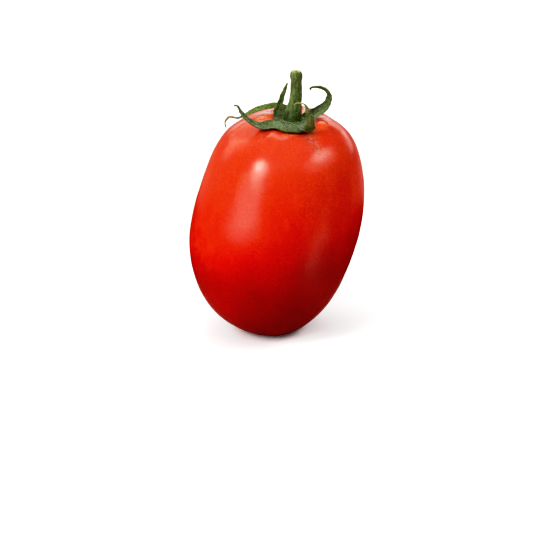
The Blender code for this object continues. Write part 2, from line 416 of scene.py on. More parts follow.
    def blossom_end(self, board: Board, colour: Link) -> tuple[Link, Link]:
        """The dry scar at the base, with pale rays round it.

        Args:
            board: the material's board.
            colour: the colour so far.

        Returns:
            The colour with the scar, and how much of a scar each place is.
        """
        low = board.axis("Z").step(*self.scar_z)
        ragged = board.off_axis() + 0.0018 * (board.noise(0.0011, 3.0, 0.7) - 0.5)
        star = ragged.step(self.star_radius, self.scar_radius) * low
        rays = star * board.map("rays")
        scar = ragged.step(self.scar_radius * 1.08, self.scar_radius * 0.92) * low
        cracks = board.cells(self.crack_size, "DISTANCE_TO_EDGE").step(0.10, 0.03)
        colour = board.layers(
            colour,
            (0.75 * rays, self.orange),
            (0.45 * star * rays, self.cork),
            (scar, self.scar),
            (0.8 * cracks * scar, self.crack),
        )
        return colour, scar


PLANT: Mapping[str, Any] = {
    "Sheen Roughness": 0.45,
    "Sheen Tint": (0.82, 0.92, 0.78, 1.0),
    "Subsurface Radius": (0.5, 1.0, 0.2),
}


@dataclass(frozen=True)
class LeafFinish:
    """Sepals: green with grey down above, olive below, brown at the edges and dry at the tips, and
    darkened along the flap's fold as painted shade.
    """

    green: Colour = (0.062, 0.094, 0.022)
    fresh: Colour = (0.158, 0.186, 0.042)
    light: Colour = (0.215, 0.280, 0.080)
    dark: Colour = (0.020, 0.040, 0.008)
    down: Colour = (0.175, 0.215, 0.140)
    olive: Colour = (0.100, 0.114, 0.022)
    brown: Colour = (0.120, 0.072, 0.026)
    straw: Colour = (0.360, 0.300, 0.120)
    blotch_size: float = 0.0021
    fuzz_size: float = 0.0013
    pucker_size: float = 0.0009
    fine_size: float = 0.00042
    relief: float = 0.00008

    def material(self) -> bpy.types.Material:
        """Build the sepals' material.

        Returns:
            The material.
        """
        board = Board("downy_sepal")
        upper, dry = board.map("upper"), board.map("dry")
        blotch, fine = board.noise(self.blotch_size), board.noise(self.fine_size, 3.0, 0.65)
        fuzz = upper * (0.12 + 0.88 * board.noise(self.fuzz_size).step(0.42, 0.62))
        fuzz = fuzz * (0.25 + 0.75 * fine.step(0.42, 0.60))
        fuzz = fuzz.most(0.9 * board.map("bloom") * fine.step(0.34, 0.54))
        speckled = board.map("pale") * (0.35 + 0.65 * fine.step(0.38, 0.56))
        colour = board.layers(
            self.green,
            (blotch.step(0.36, 0.68), self.fresh),
            (0.86 * fine.step(0.57, 0.42), self.dark),
            (0.70 * fuzz, self.down),
            # Painted shade: the flap's fold is darkened as if shade lay in it.
            (0.75 * board.map("fold"), self.dark),
            (0.80 * speckled, self.light),
            (0.45 * (1.0 - upper) * blotch.step(0.34, 0.64), self.olive),
            (0.75 * board.map("edge") * blotch.step(0.30, 0.62), self.olive),
            (board.map("burnt") * fine.step(0.30, 0.60), self.brown),
            (0.92 * dry, board.layers(self.brown, (board.map("straw"), self.straw))),
        )
        height = fine + 0.8 * board.noise(self.pucker_size, 2.0, 0.5)
        return board.finish(
            board.shader(
                {
                    **PLANT,
                    "Base Color": colour,
                    "Roughness": 0.52 + 0.16 * fuzz + 0.12 * fine + 0.1 * dry,
                    "Normal": board.bump(height, self.relief, 0.9),
                    "Specular IOR Level": 0.38,
                    "Sheen Weight": 0.22,
                    "Subsurface Weight": 0.10,
                    "Subsurface Scale": 0.0004,
                }
            )
        )


@dataclass(frozen=True)
class StalkFinish:
    """The stalk: striped green, darker in patches and towards the foot, darkened on its right side
    as painted shade, with a pale cut face.
    """

    green: Colour = (0.098, 0.150, 0.040)
    grey: Colour = (0.210, 0.268, 0.130)
    dark: Colour = (0.036, 0.056, 0.010)
    tan: Colour = (0.520, 0.440, 0.210)
    pith: Colour = (0.330, 0.330, 0.110)
    stripe_size: float = 0.00060
    patch_size: float = 0.0024
    fine_size: float = 0.00035
    dot_size: float = 0.00050
    relief: float = 0.00005
    foot_z: Spot = (0.0775, 0.0735)
    knuckle_z: Spot = (0.0872, 0.0014)
    cut_x: float = 0.00770
    cut_z: Spot = (0.0882, 0.08838)
    cut_radius: Spot = (0.00150, 0.00135)
    ring_radius: Spot = (0.0010, 0.00045)

    def material(self) -> bpy.types.Material:
        """Build the stalk's material.

        Returns:
            The material.
        """
        board = Board("green_stalk")
        z, out = board.axis("Z"), board.off_axis(self.cut_x)
        stripes = board.noise(self.stripe_size, place=board.stretched(1.0, 1.0, 0.16))
        patch = board.noise(self.patch_size, place=board.stretched(1.0, 1.0, 0.5))
        fine = board.noise(self.fine_size, 3.0, 0.65)
        dots = board.cells(self.dot_size).step(0.25, 0.10)
        # Painted shade: the right side of the stalk, away from the key light, is darkened.
        right = board.axis("X").step(0.0066, 0.0096)
        knuckle = z.hump(*self.knuckle_z)
        dark = 0.7 * patch.step(0.54, 0.38) + 0.40 * right
        dark = dark + 0.75 * z.step(*self.foot_z) + 0.20 * knuckle
        cut = z.step(*self.cut_z) * out.step(*self.cut_radius)
        colour = board.layers(
            self.green,
            (0.75 * stripes.step(0.42, 0.66), self.grey),
            (dark, self.dark),
            (0.35 * dots * fine.step(0.45, 0.6), self.grey),
            (cut, board.layers(self.pith, (out.hump(*self.ring_radius), self.tan))),
            (0.5 * cut * fine.step(0.56, 0.40), self.dark),
        )
        rough = 0.36 + 0.14 * fine + 0.25 * cut + 0.10 * stripes - 0.14 * knuckle
        return board.finish(
            board.shader(
                {
                    **PLANT,
                    "Base Color": colour,
                    "Roughness": rough,
                    "Normal": board.bump(stripes + 0.7 * fine + 0.6 * dots, self.relief, 0.8),
                    "Specular IOR Level": 0.45,
                    "Sheen Weight": 0.15,
                    "Subsurface Weight": 0.08,
                    "Subsurface Scale": 0.0005,
                }
            )
        )


@dataclass(frozen=True)
class HairFinish:
    """Fine hairs: pale, a little green at the root."""

    root: Colour = (0.30, 0.36, 0.22)
    tip: Colour = (0.72, 0.76, 0.66)

    def material(self) -> bpy.types.Material:
        """Build the hairs' material.

        Returns:
            The material.
        """
        board = Board("fine_hair")
        colour = board.layers(self.root, (board.map("reach"), self.tip))
        inputs = {"Base Color": colour, "Roughness": 0.5, "Specular IOR Level": 0.4}
        return board.finish(board.shader(inputs))


@dataclass(frozen=True)
class FloorFinish:
    """A plain pale floor to the camera, and a dimmer red one to the light that bounces.

    The shades are darker spots of the dim floor, painted shade for what the fruit reflects and the
    light bounced onto it, as X, Y and reach. The strip is a paler one that glows to bounced light
    though it is no lamp, a painted reflection streak on the fruit; it runs away to the right, as
    the way across it, its middle and its reach.
    """

    pale: Colour = (0.90, 0.90, 0.905)
    paler: Colour = (0.92, 0.92, 0.92)
    dim: Colour = (0.46, 0.22, 0.20)
    shade: Colour = (0.16, 0.012, 0.008)
    shades: tuple[Point, ...] = ((-0.090, 0.090, 0.120), (0.075, 0.055, 0.070))
    dim_reach: Spot = (1.60, 4.00)
    strip_way: Spot = (0.455, 0.89)
    strip: Spot = (-0.018, 0.034)
    strip_start: Spot = (0.015, 0.045)
    strip_end: Spot = (0.16, 0.11)
    glow: float = 0.9
    glow_reach: Spot = (0.5, 2.5)

    def material(self) -> bpy.types.Material:
        """Build the floor's material.

        Returns:
            The material.
        """
        board = Board("pale_floor")
        seen = board.node("ShaderNodeLightPath", output="Is Camera Ray")
        out = board.away(board.here, BLACK)
        across = self.strip_way[0] * board.axis("X") + self.strip_way[1] * board.axis("Y")
        strip = across.hump(*self.strip) * board.axis("X").step(*self.strip_start)
        far = out.step(*self.dim_reach).most(strip)
        lit = seen * out.step(*self.glow_reach)
        # Painted glow: for bounced light the strip glows, though it is no lamp, and lays a
        # reflection streak on the fruit.
        lit = lit + (1.0 - seen) * strip * out.step(*self.strip_end)
        ground = self.dim
        # Painted shade: dark spots of the dim floor darken what the fruit's edges reflect and the
        # light bounced onto them.
        for x, y, reach in self.shades:
            near = board.away(board.here, (x, y, 0.0)).step(reach, 0.5 * reach)
            ground = board.layers(ground, (near, self.shade))
        plain = {"Roughness": 0.9, "Specular IOR Level": 0.1}
        dim = board.shader({"Base Color": ground, **plain})
        pale = board.shader(
            {
                "Base Color": board.layers(self.pale, (board.noise(0.25, 2.0, 0.5), self.paler)),
                "Emission Color": board.layers(BLACK, (lit, WHITE)),
                "Emission Strength": self.glow,
                **plain,
            }
        )
        share = seen + far - seen * far
        return board.finish(board.node("ShaderNodeMixShader", None, {0: share, 1: dim, 2: pale}))


# Mesh helpers


class Waves:
    """Smooth seeded waves in space, which give a surface its small unevenness."""

    def __init__(self, seed: int, length: float, count: int = 24) -> None:
        """Draw the waves.

        Args:
            seed: the seed of the draw.
            length: the mean wavelength in metres.
            count: how many waves are summed.
        """
        draw = np.random.default_rng(seed)
        ways = draw.normal(size=(count, 3))
        ways /= np.linalg.norm(ways, axis=1, keepdims=True)
        self.ways = ways * (TURN / (length * draw.uniform(0.7, 1.4, count)))[:, None]
        self.phases = draw.uniform(0.0, TURN, count)

    def at(self, points: np.ndarray) -> np.ndarray:
        """The waves' height at each point, about -2 to 2."""
        return np.sin(points @ self.ways.T + self.phases).sum(1) / math.sqrt(len(self.phases) / 2.0)


def bell(offset: np.ndarray, reach: float) -> np.ndarray:
    """A smooth hump of the offset: 1 at 0, fading over the reach."""
    return np.exp(-((offset / reach) ** 2))


def rise(value: np.ndarray, low: float, high: float) -> np.ndarray:
    """A smooth step from 0 at low to 1 at high, which may be below low."""
    share = np.clip((value - low) / (high - low), 0.0, 1.0)
    return share * share * (3.0 - 2.0 * share)


def turn_from(azimuth: np.ndarray, degrees: float) -> np.ndarray:
    """The angle of each azimuth from one in degrees, the short way round."""
    return np.angle(np.exp(1j * (azimuth - math.radians(degrees))))


def around(sides: int) -> np.ndarray:
    """Angles evenly spread round a circle."""
    return np.arange(sides) * (TURN / sides)


def unit(ways: np.ndarray) -> np.ndarray:
    """The ways with a length of 1 each."""
    return ways / np.linalg.norm(ways, axis=1, keepdims=True)


def smooth_values(values: Iterable[Any], shares: np.ndarray) -> np.ndarray:
    """Values along a smooth curve through the given ones.

    Args:
        values: points, evenly spread along the curve.
        shares: how far along the curve each wanted value is, from 0 to 1.

    Returns:
        One row for each share.
    """
    knots = np.asarray(values, float)
    last = len(knots) - 1
    places = np.clip(shares, 0.0, 1.0) * last
    i = np.minimum(places.astype(int), last - 1)
    t = (places - i)[:, None]
    a, b = knots[i], knots[i + 1]
    leave = 0.5 * (b - knots[np.maximum(i - 1, 0)])
    arrive = 0.5 * (knots[np.minimum(i + 2, last)] - a)
    return (
        (2.0 * t**3 - 3.0 * t**2 + 1.0) * a
        + (t**3 - 2.0 * t**2 + t) * leave
        + (3.0 * t**2 - 2.0 * t**3) * b
        + (t**3 - t**2) * arrive
    )


def ring_faces(rings: int, sides: int) -> list[tuple[int, ...]]:
    """The faces between rings of points.

    Args:
        rings: the number of rings.
        sides: the number of points in a ring.

    Returns:
        The faces, as point numbers.
    """
    rounds = [(side, (side + 1) % sides) for side in range(sides)]
    starts = range(0, (rings - 1) * sides, sides)
    return [(s + a, s + b, s + b + sides, s + a + sides) for s in starts for a, b in rounds]


def tube_faces(rings: int, sides: int) -> list[tuple[int, ...]]:
    """The faces of a closed tube of rings, with a fan to an end point at each end.

    Args:
        rings: the number of rings. The two end points come after the rings' points.
        sides: the number of points in a ring.

    Returns:
        The faces, as point numbers.
    """
    faces = ring_faces(rings, sides)
    first, last, end = rings * sides, rings * sides + 1, (rings - 1) * sides
    for side in range(sides):
        after = (side + 1) % sides
        faces += [(after, side, first), (end + side, end + after, last)]
    return faces


def new_object(name: str, points: np.ndarray, faces: list[tuple[int, ...]]) -> bpy.types.Object:
    """A smooth-shaded mesh object.

    Args:
        name: its name.
        points: its points, one in each row.
        faces: its faces, as point numbers.

    Returns:
        The object, linked to the scene.
    """
    mesh = bpy.data.meshes.new(name)
    mesh.from_pydata(points.tolist(), [], faces)
    mesh.shade_smooth()
    thing = bpy.data.objects.new(name, mesh)
    bpy.context.scene.collection.objects.link(thing)
    return thing


def read_rows(items: bpy.types.bpy_prop_collection, name: str) -> np.ndarray:
    """Read a three-part property of many items at once.

    Args:
        items: the items.
        name: the property.

    Returns:
        The values, one item in each row.
    """
    rows = np.empty(len(items) * 3)
    items.foreach_get(name, rows)
    return rows.reshape(-1, 3)


def read_mesh(mesh: bpy.types.Mesh) -> tuple[np.ndarray, np.ndarray]:
    """The mesh's points and their normals, one in each row."""
    return read_rows(mesh.vertices, "co"), read_rows(mesh.vertex_normals, "vector")


def move_points(mesh: bpy.types.Mesh, points: np.ndarray) -> None:
    """Put the mesh's points in new places."""
    mesh.vertices.foreach_set("co", points.astype(np.float32).ravel())
    mesh.update()


def keep_maps(mesh: bpy.types.Mesh, maps: Mapping[str, np.ndarray]) -> None:
    """Keep values at each point of the mesh, for its material to read.

    Args:
        mesh: the mesh.
        maps: the values, which are held between 0 and 1, by name.
    """
    for name, values in maps.items():
        layer = mesh.attributes.new(name, "FLOAT", "POINT")
        layer.data.foreach_set("value", np.clip(values, 0.0, 1.0).astype(np.float32))


def dress(thing: bpy.types.Object, material: bpy.types.Material, slot: Slot, *nodes: str) -> None:
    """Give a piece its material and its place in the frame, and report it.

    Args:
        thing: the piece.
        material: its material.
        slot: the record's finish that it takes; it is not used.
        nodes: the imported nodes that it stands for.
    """
    thing.data.materials.clear()
    thing.data.materials.append(material)
    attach(thing, BODY)
    if nodes:
        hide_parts(*nodes)
    size = [round(side / MM, 1) for side in thing.dimensions]
    LOG.info("%s: %d faces, %s mm", thing.name, len(thing.data.polygons), size)


# The fruit


@dataclass(frozen=True)
class Pleat:
    """A furrow of the skin that runs out from the stalk. Azimuth and bend are in degrees."""

    azimuth: float
    start: float
    end: float
    width: float
    depth: float
    bend: float = 0.0
    crease: float = 0.0
    scuff: float = 0.0


@dataclass
class Fruit:
    """The fruit: a barrel that leans, hollow round the stalk and flat where it rests."""

    radius: float = 0.02786
    stand_height: float = 0.0395
    top_rise: float = 0.0352
    bottom_drop: float = 0.0410
    top_fullness: float = 2.6
    bottom_fullness: float = 2.15
    equator_x: float = 0.0019
    axis_slant: float = 0.0064
    axis_bend: float = -0.0044
    axis_reach: float = 0.040
    waist: float = 0.042
    shoulder_lean: float = 0.08
    lobe_depth: float = 0.007
    cavity_depth: float = 0.0040
    cavity_radius: float = 0.0080
    swells: tuple[tuple[float, float, float, float], ...] = (
        (-0.0070, 0.0070, 0.0090, -0.0019),
        (0.0190, 0.0070, 0.0078, -0.0013),
        (0.0065, -0.0130, 0.0070, -0.0005),
    )
    crown_z: Spot = (0.058, 0.064)
    pleats: tuple[Pleat, ...] = (
        Pleat(-129.0, 0.0118, 0.0170, 0.0011, 0.00022, 0.0, 0.0, 0.35),
        Pleat(-68.0, 0.0118, 0.0195, 0.0013, 0.00006, 4.0, 0.0, 0.9),
        Pleat(-104.0, 0.0110, 0.0152, 0.0017, 0.00016),
        Pleat(150.0, 0.0050, 0.0150, 0.0010, 0.00050, 12.0, 0.9),
        Pleat(176.0, 0.0070, 0.0150, 0.0012, 0.00030, 0.0, 0.2),
        Pleat(112.0, 0.0060, 0.0150, 0.0011, 0.00035, 0.0, 0.4),
        Pleat(74.0, 0.0060, 0.0165, 0.0013, 0.00040, -6.0, 0.3),
        Pleat(38.0, 0.0060, 0.0150, 0.0011, 0.00032, 0.0, 0.3),
        Pleat(-26.0, 0.0095, 0.0160, 0.0016, 0.00012),
    )
    rim_radius: float = 0.0108
    rim_azimuth: float = -16.0
    rim_spread: float = 30.0
    rim_depth: float = 0.00009
    rim_width: float = 0.0011
    lobe_middle: Spot = (0.0022, -0.0148)
    lobe_reach: float = 0.0036
    lobe_height: float = 0.00038
    sores: tuple[Point, ...] = (
        (0.0034, -0.0121, 0.0005),
        (0.0048, -0.0120, 0.0008),
        (0.0061, -0.0124, 0.0006),
        (0.0071, -0.0118, 0.0006),
    )
    hook_middle: Spot = (0.0160, -0.0024)
    hook_reach: Spot = (0.0018, 0.0038)
    hook_width: float = 0.20
    hook_depth: float = 0.00003
    unevenness: float = 0.00007
    rest_softness: float = 0.0004
    scar_dimple: float = 0.00045
    scar_reach: float = 0.0024
    rays: int = 9
    rows: int = 268
    rounds: int = 352
    crown_density: float = 1.3
    crown_reach: float = 0.018

    def skin(self, polar: np.ndarray, azimuth: np.ndarray) -> np.ndarray:
        """Points of the even skin.

        Args:
            polar: angles down from the top.
            azimuth: angles round the axis, one for each of the polar angles.

        Returns:
            The points, one in each row.
        """
        is_top = np.cos(polar) > 0.0
        power = 2.0 / np.where(is_top, self.top_fullness, self.bottom_fullness)
        reach = np.where(is_top, self.top_rise, -self.bottom_drop)
        out = self.radius * np.abs(np.sin(polar)) ** power
        lift = reach * np.abs(np.cos(polar)) ** power
        upper = np.maximum(0.0, lift / self.top_rise)
        out *= 1.0 - self.waist * np.sin(math.pi * upper) ** 2
        out *= 1.0 + self.lobe_depth * (np.sin(3.0 * azimuth) - np.sin(5.0 * azimuth))
        step = lift / self.axis_reach
        middle_x = self.equator_x + self.axis_slant * step + self.axis_bend * step**3
        x, y = middle_x + out * np.cos(azimuth), out * np.sin(azimuth)
        z = self.stand_height + lift + self.shoulder_lean * y * upper**2
        z -= self.cavity_depth * upper * bell(np.hypot(x - STEM_X, y), self.cavity_radius)
        for swell_x, swell_y, radius, height in self.swells:
            z += height * upper * bell(np.hypot(x - swell_x, y - swell_y), radius)
        return np.stack([x, y, z], 1)

    def row_angles(self) -> np.ndarray:
        """Polar angles of the rows, evenly spread along the skin and closer at the crown.

        Returns:
            The angles, from the top to the base.
        """
        fine = np.linspace(0.0, math.pi, 4001)
        profile = self.skin(fine, np.full_like(fine, -math.pi / 2.0))
        steps = np.linalg.norm(np.diff(profile, axis=0), axis=1)
        length = np.concatenate([[0.0], np.cumsum(steps)])
        weight = 1.0 + self.crown_density * bell(length, self.crown_reach)
        mass = np.concatenate([[0.0], np.cumsum(steps * 0.5 * (weight[1:] + weight[:-1]))])
        return np.interp(np.linspace(0.0, mass[-1], self.rows + 2), mass, fine)[1:-1]

    def pleated(self, out: np.ndarray, azimuth: np.ndarray) -> tuple[np.ndarray, ...]:
        """The furrows round the stalk.

        Args:
            out: distances from the stalk's axis.
            azimuth: angles about it.

        Returns:
            The height, and how creased and how scuffed each point is.
        """
        height, crease, scuff = (np.zeros(len(out)) for _ in range(3))
        for pleat in self.pleats:
            along = (out - pleat.start) / (pleat.end - pleat.start)
            turn = azimuth - (math.radians(pleat.azimuth) + math.radians(pleat.bend) * along)
            aside = out * np.sin(turn)
            window = rise(along, -0.25, 0.25) * rise(along, 1.25, 0.55)
            window *= rise(np.cos(turn), 0.2, 0.6)
            banks = bell(np.abs(aside) - 1.9 * pleat.width, 1.1 * pleat.width)
            height += pleat.depth * window * (0.45 * banks - bell(aside, pleat.width))
            crease += pleat.crease * window * bell(aside, 1.5 * pleat.width)
            scuff += pleat.scuff * window * bell(aside, 1.6 * pleat.width)
        return height, crease, scuff

    def relief(self, points: np.ndarray) -> tuple[np.ndarray, dict[str, np.ndarray]]:
        """Height of the skin's furrows, lobes and unevenness.

        Args:
            points: points of the even skin.

        Returns:
            The heights, and the maps of creases, scuffs, sores and the hook's dark line, which is
            partly a mark and partly painted crease shade.
        """
        x, y = points[:, 0], points[:, 1]
        out, azimuth = np.hypot(x - STEM_X, y), np.arctan2(y, x - STEM_X)
        top = rise(points[:, 2], *self.crown_z)
        height, crease, scuff = (values * top for values in self.pleated(out, azimuth))
        arc = bell(turn_from(azimuth, self.rim_azimuth), math.radians(self.rim_spread)) * top
        past = out - self.rim_radius
        bank = 0.8 * bell(past - 0.0014, 0.0012)
        height += self.rim_depth * arc * (bank - bell(past, self.rim_width))
        crease += 0.45 * arc * bell(past + 0.0004, 0.0011)
        lobe_x, lobe_y = self.lobe_middle
        height += self.lobe_height * top * bell(np.hypot(x - lobe_x, y - lobe_y), self.lobe_reach)
        sore = sum(bell(np.hypot(x - at_x, y - at_y), reach) for at_x, at_y, reach in self.sores)
        (hook_x, hook_y), (wide, deep) = self.hook_middle, self.hook_reach
        ring = np.hypot((x - hook_x) / wide, (y - hook_y) / deep)
        hook = bell(ring - 1.0, self.hook_width) * rise(y, hook_y - 0.0012, hook_y + 0.0004) * top
        height -= self.hook_depth * hook
        crease += 0.7 * bell(ring, 0.8) * top
        broad, narrow = Waves(3, 0.016).at(points), Waves(5, 0.006).at(points)
        height += self.unevenness * (broad - 1.0 + 0.25 * narrow)
        return height, {"crease": crease, "scuff": scuff, "sore": sore * top, "crease_mark_and_shade": hook}

    def settle(self, points: np.ndarray) -> np.ndarray:
        """Flatten the base softly where the fruit rests, and dimple it at the scar.

        Args:
            points: the skin's points.

        Returns:
            The points, none of them below the floor.
        """
        out = np.hypot(points[:, 0], points[:, 1])
        z = points[:, 2]
        z = 0.5 * (z + np.sqrt(z * z + self.rest_softness**2))
        bumps = 0.3 + 0.12 * Waves(8, 0.0012).at(points)
        scar = bell(out, self.scar_reach) - bumps * bell(out, 0.55 * self.scar_reach)
        settled = points.copy()
        settled[:, 2] = z + self.scar_dimple * rise(z, 0.003, 0.0015) * scar
        return settled

    def build(self) -> bpy.types.Object:
        """Build the fruit.

        Returns:
            The fruit, dressed and riding on its body.
        """
        polar = np.append(np.repeat(self.row_angles(), self.rounds), [0.0, math.pi])
        azimuth = np.append(np.tile(around(self.rounds), self.rows), [0.0, 0.0])
        points = self.skin(polar, azimuth)
        fruit = new_object("fruit_skin", points, tube_faces(self.rows, self.rounds))
        _, normals = read_mesh(fruit.data)
        if normals[-1, 2] > 0.0:
            fruit.data.flip_normals()
            normals = -normals
        height, maps = self.relief(points)
        move_points(fruit.data, self.settle(points + normals * height[:, None]))
        wobble = 0.5 * Waves(9, 0.004).at(points)
        beat = np.cos(self.rays * np.arctan2(points[:, 1], points[:, 0]) + wobble)
        keep_maps(fruit.data, {**maps, "rays": 0.5 + 0.5 * beat**3})
        dress(fruit, SkinFinish().material(), Slot.SKIN, "fruit")
        return fruit


# The calyx


@dataclass(frozen=True)
class Sepal:
    """One sepal: stations in millimetres along it, as X, Y, Z and width, its turns and colour."""

    name: str
    stations: tuple[tuple[float, float, float, float], ...]
    root_turn: float
    tip_turn: float
    dry_from: float
    straw: float = 0.0
    pale: float = 0.0
    burnt: float = 0.0


SEPALS = (
    Sepal(
        "front_left",
        (
            (3.6, -3.0, 72.0, 5.8), (1.0, -6.0, 72.7, 5.8), (-1.1, -7.8, 72.9, 5.2),
            (-3.6, -8.8, 73.1, 4.4), (-6.1, -9.0, 74.3, 3.7), (-7.9, -9.2, 75.9, 3.0),
            (-9.2, -9.2, 77.5, 2.3), (-10.0, -9.0, 78.9, 1.6), (-10.6, -8.8, 79.8, 1.1),
            (-11.2, -8.6, 80.0, 0.8), (-11.7, -8.4, 79.7, 0.6),
        ),
        root_turn=-10.0,
        tip_turn=-25.0,
        dry_from=0.86,
    ),
    Sepal(
        "back_left",
        (
            (6.1, 4.6, 72.0, 4.0), (5.2, 6.0, 73.0, 3.4), (4.0, 6.9, 73.9, 2.7),
            (1.7, 6.8, 74.9, 2.2), (-1.2, 5.6, 75.0, 2.0), (-3.7, 4.6, 74.6, 1.9),
            (-6.3, 3.4, 74.0, 1.6), (-8.5, 2.4, 73.1, 1.1), (-10.1, 1.8, 72.5, 0.9),
            (-11.3, 1.4, 72.5, 0.8), (-12.9, 1.0, 73.0, 0.8), (-13.9, 0.8, 72.7, 0.8),
            (-14.7, 0.6, 71.7, 0.7), (-14.8, 0.4, 70.6, 0.6), (-14.4, 0.2, 69.6, 0.5),
        ),
        root_turn=-10.0,
        tip_turn=-20.0,
        dry_from=0.62,
        straw=0.35,
        pale=0.9,
    ),
    Sepal(
        "back_upright",
        (
            (2.6, 2.2, 71.9, 4.0), (2.2, 3.0, 72.8, 4.2), (2.2, 3.8, 74.0, 3.6),
            (2.5, 4.4, 75.5, 2.4), (3.0, 4.9, 77.3, 1.9), (3.6, 5.2, 79.3, 1.6),
            (4.3, 5.4, 81.0, 1.2), (5.0, 5.5, 82.8, 0.6),
        ),
        root_turn=0.0,
        tip_turn=0.0,
        dry_from=0.90,
        straw=0.3,
        pale=0.35,
    ),
    Sepal(
        "right",
        (
            (10.5, 1.1, 71.7, 4.4), (11.5, 1.6, 72.4, 4.8), (12.9, 2.2, 73.3, 4.8),
            (15.2, 2.8, 74.1, 4.4), (17.1, 3.0, 75.7, 3.8), (18.3, 3.0, 77.7, 3.1),
            (18.5, 2.8, 79.7, 2.6), (17.3, 2.6, 81.5, 2.2), (15.4, 2.4, 82.4, 1.8),
            (13.4, 2.2, 82.6, 1.3), (12.4, 2.0, 82.3, 0.8), (12.3, 1.9, 81.7, 0.6),
        ),
        root_turn=12.0,
        tip_turn=40.0,
        dry_from=0.90,
    ),
    Sepal(
        "front_right",
        (
            (8.4, -3.4, 71.7, 5.6), (9.7, -6.4, 72.4, 5.6), (11.1, -10.0, 72.4, 5.0),
            (11.9, -12.0, 72.9, 4.0), (12.2, -12.7, 74.3, 3.7), (12.1, -12.3, 76.5, 2.8),
            (11.5, -11.6, 78.5, 1.9), (11.1, -10.6, 79.8, 1.3), (10.3, -9.8, 80.7, 0.7),
            (9.1, -8.8, 80.8, 0.5), (8.0, -8.0, 80.5, 0.4), (7.2, -7.4, 79.9, 0.4),
        ),
        root_turn=0.0,
        tip_turn=0.0,
        dry_from=0.74,
        straw=1.0,
        burnt=0.15,
    ),
)


